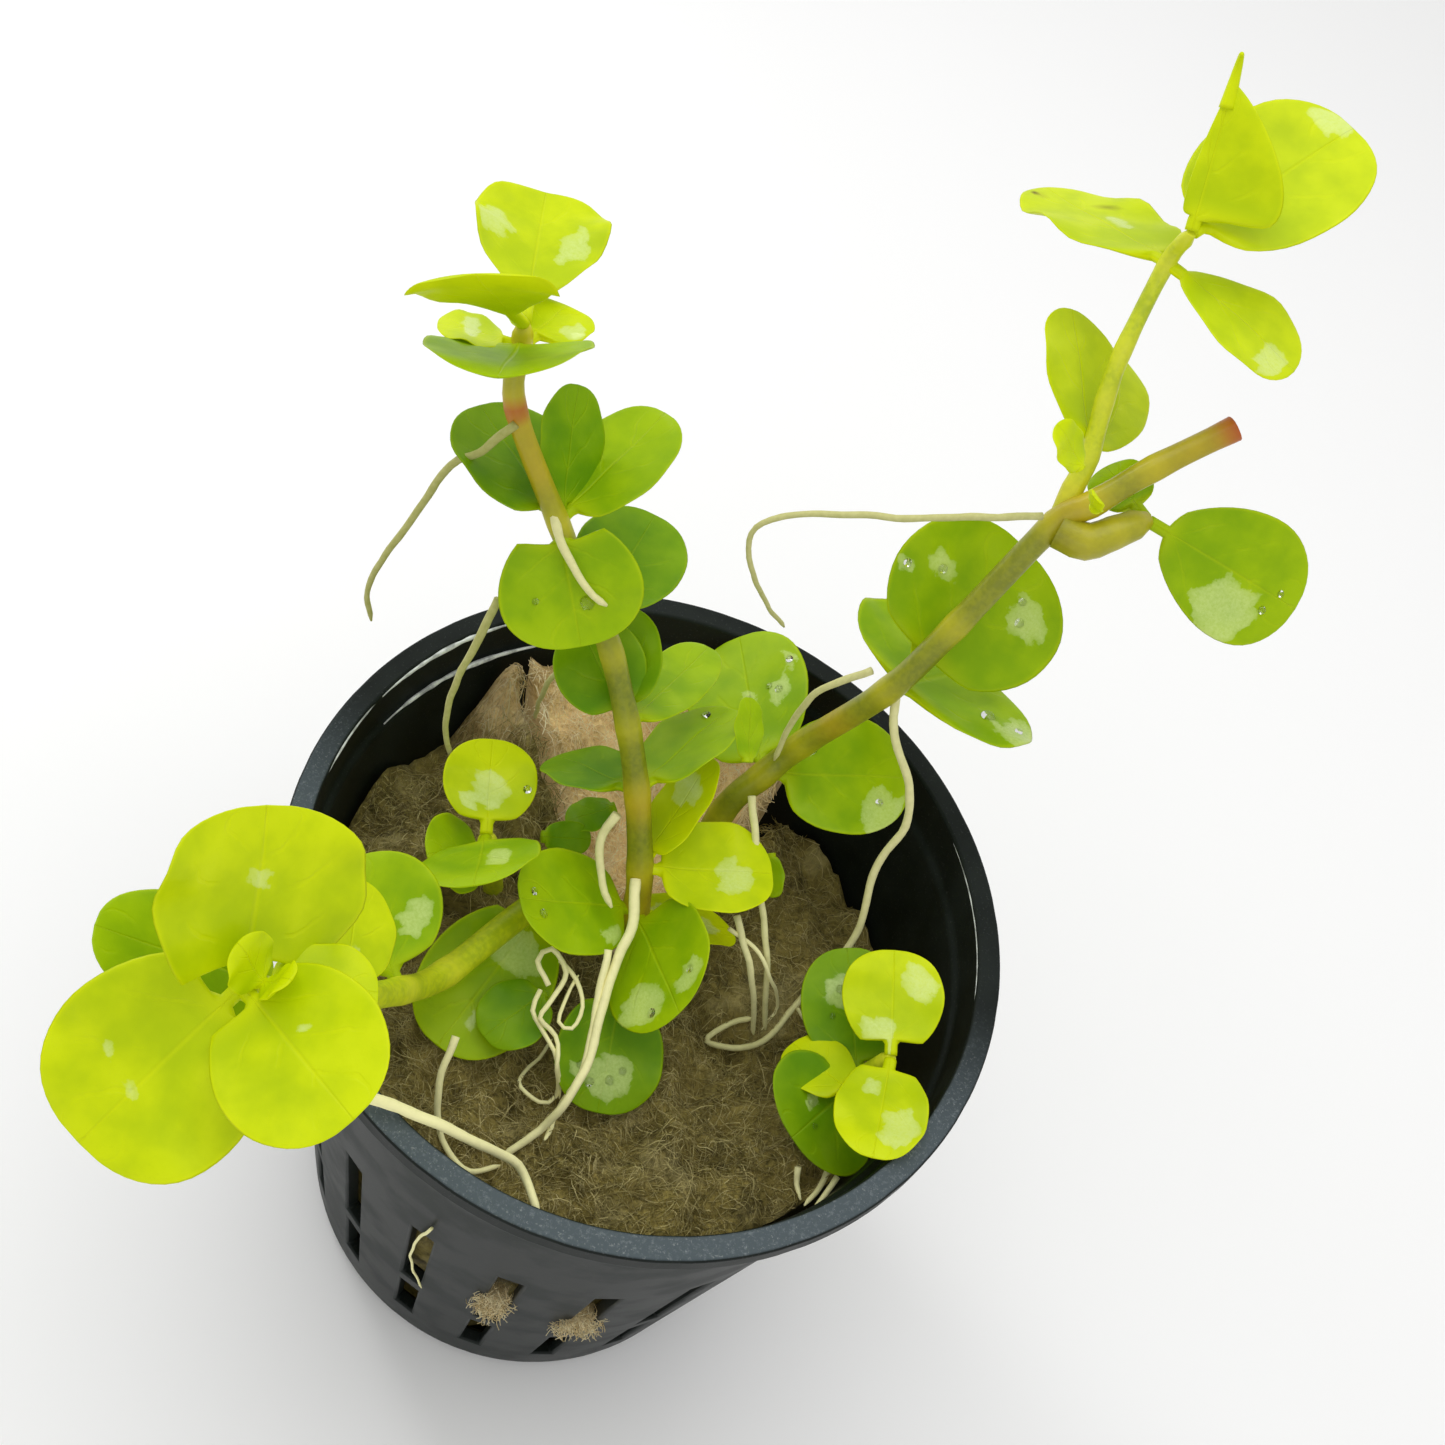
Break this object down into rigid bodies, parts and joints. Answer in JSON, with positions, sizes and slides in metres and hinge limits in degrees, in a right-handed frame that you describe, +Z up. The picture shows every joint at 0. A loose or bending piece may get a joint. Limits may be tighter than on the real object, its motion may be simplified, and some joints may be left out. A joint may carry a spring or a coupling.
{
  "type": "creeping jenny in a net pot",
  "caption": "Small golden creeping jenny rooted in torn rockwool in a slotted plastic net pot, standing free.",
  "frame": {"origin": "centre of the net pot's underside", "axes": "+Z up out of the pot; the taller stem leans to -X and the forked stem to +X +Y"},
  "size_m": [0.0599, 0.0837, 0.1033],
  "materials": {
    "leaf_dark": "wet glossy dark green leaf",
    "leaf_green": "wet glossy green leaf",
    "leaf_young": "wet glossy yellow-green leaf",
    "pot": "black moulded plastic, glossy inside, finely scuffed on the rim",
    "rockwool_dry": "dry tan mineral fibre",
    "rockwool_wet": "wet olive-brown mineral fibre",
    "stem_olive": "satin olive stem",
    "stem_young": "satin yellow-green stem"
  },
  "bodies": {
    "root": {"net_pot": "pot", "rockwool_front": "rockwool_wet", "rockwool_right": "rockwool_wet", "rockwool_back": "rockwool_dry", "rockwool_left": "rockwool_wet", "stem_tall": "stem_olive", "stem_right": "stem_olive", "stem_right_upper": "stem_young", "stem_right_side": "stem_olive", "stem_left": "stem_young", "stem_centre": "stem_young", "stem_sprout": "stem_young", "leaf_tall_1": "leaf_young", "leaf_tall_2": "leaf_young", "leaf_tall_3": "leaf_young", "leaf_tall_4": "leaf_young", "leaf_tall_5": "leaf_green", "leaf_tall_6": "leaf_dark", "leaf_tall_7": "leaf_dark", "leaf_tall_8": "leaf_green", "leaf_tall_9": "leaf_dark", "leaf_tall_10": "leaf_green", "leaf_tall_11": "leaf_dark", "leaf_tall_12": "leaf_dark", "leaf_tall_13": "leaf_green", "leaf_tall_14": "leaf_green", "leaf_tall_15": "leaf_dark", "leaf_tall_16": "leaf_young", "leaf_tall_17": "leaf_young", "leaf_tall_18": "leaf_young", "leaf_tall_19": "leaf_green", "leaf_tall_20": "leaf_green", "leaf_tall_21": "leaf_dark", "leaf_right_1": "leaf_green", "leaf_right_2": "leaf_green", "leaf_right_3": "leaf_green", "leaf_right_4": "leaf_green", "leaf_side_1": "leaf_green", "leaf_side_2": "leaf_green", "leaf_upper_1": "leaf_young", "leaf_upper_2": "leaf_young", "leaf_upper_3": "leaf_young", "leaf_upper_4": "leaf_young", "leaf_upper_5": "leaf_young", "leaf_upper_6": "leaf_young", "leaf_left_1": "leaf_green", "leaf_left_2": "leaf_young", "leaf_left_3": "leaf_young", "leaf_left_4": "leaf_green", "leaf_left_5": "leaf_young", "leaf_left_6": "leaf_young", "leaf_left_7": "leaf_young", "leaf_base": "leaf_green", "leaf_centre_1": "leaf_young", "leaf_centre_2": "leaf_green", "leaf_centre_3": "leaf_green", "leaf_sprout_1": "leaf_young", "leaf_sprout_2": "leaf_young", "leaf_sprout_3": "leaf_dark", "leaf_sprout_4": "leaf_dark"}
  },
  "joints": []
}
